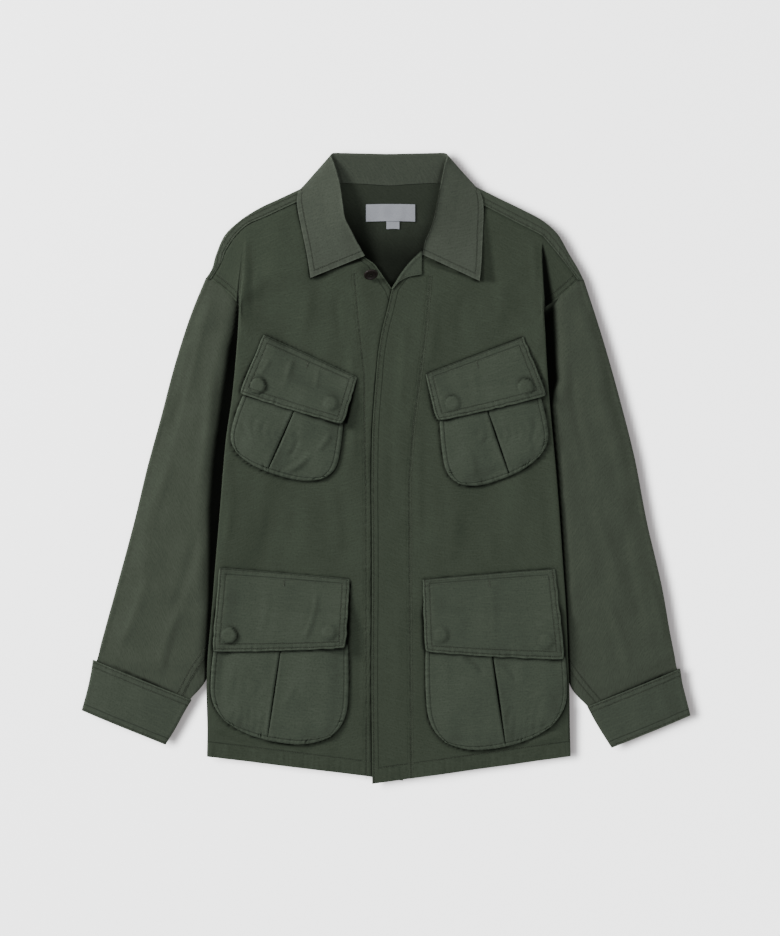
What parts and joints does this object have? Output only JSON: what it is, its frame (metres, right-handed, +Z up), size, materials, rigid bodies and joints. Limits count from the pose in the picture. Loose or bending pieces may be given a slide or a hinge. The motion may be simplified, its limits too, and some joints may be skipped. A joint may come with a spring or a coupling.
{
  "type": "jungle fatigue jacket",
  "caption": "Olive green long-sleeved field jacket laid flat, with slanted chest pockets, bellows hip pockets, flaps and an open collar.",
  "frame": {"origin": "middle of the footprint of the laid-out jacket, on the surface that it lies on", "axes": "+Z up from the surface, +Y towards the collar, +X towards the wearer's left sleeve"},
  "size_m": [0.775, 0.8024, 0.0218],
  "materials": {
    "jacket_cloth": "matte",
    "label_cloth": "matte",
    "button_plastic": "satin"
  },
  "bodies": {
    "root": {"back_panel": "jacket_cloth", "back_yoke": "jacket_cloth", "front_right": "jacket_cloth", "front_left": "jacket_cloth", "sleeve_right": "jacket_cloth", "sleeve_left": "jacket_cloth", "cuff_right": "jacket_cloth", "cuff_left": "jacket_cloth", "collar": "jacket_cloth", "chest_bag_right": "jacket_cloth", "chest_flap_right": "jacket_cloth", "chest_bag_left": "jacket_cloth", "chest_flap_left": "jacket_cloth", "hip_bag_right": "jacket_cloth", "hip_flap_right": "jacket_cloth", "hip_bag_left": "jacket_cloth", "hip_flap_left": "jacket_cloth", "flap_button_1": "button_plastic", "flap_button_2": "button_plastic", "flap_button_3": "button_plastic", "flap_button_4": "button_plastic", "flap_button_5": "button_plastic", "flap_button_6": "button_plastic", "flap_button_7": "button_plastic", "flap_button_8": "button_plastic", "neck_button": "button_plastic", "neck_label": "label_cloth", "size_tag": "label_cloth"}
  },
  "joints": []
}
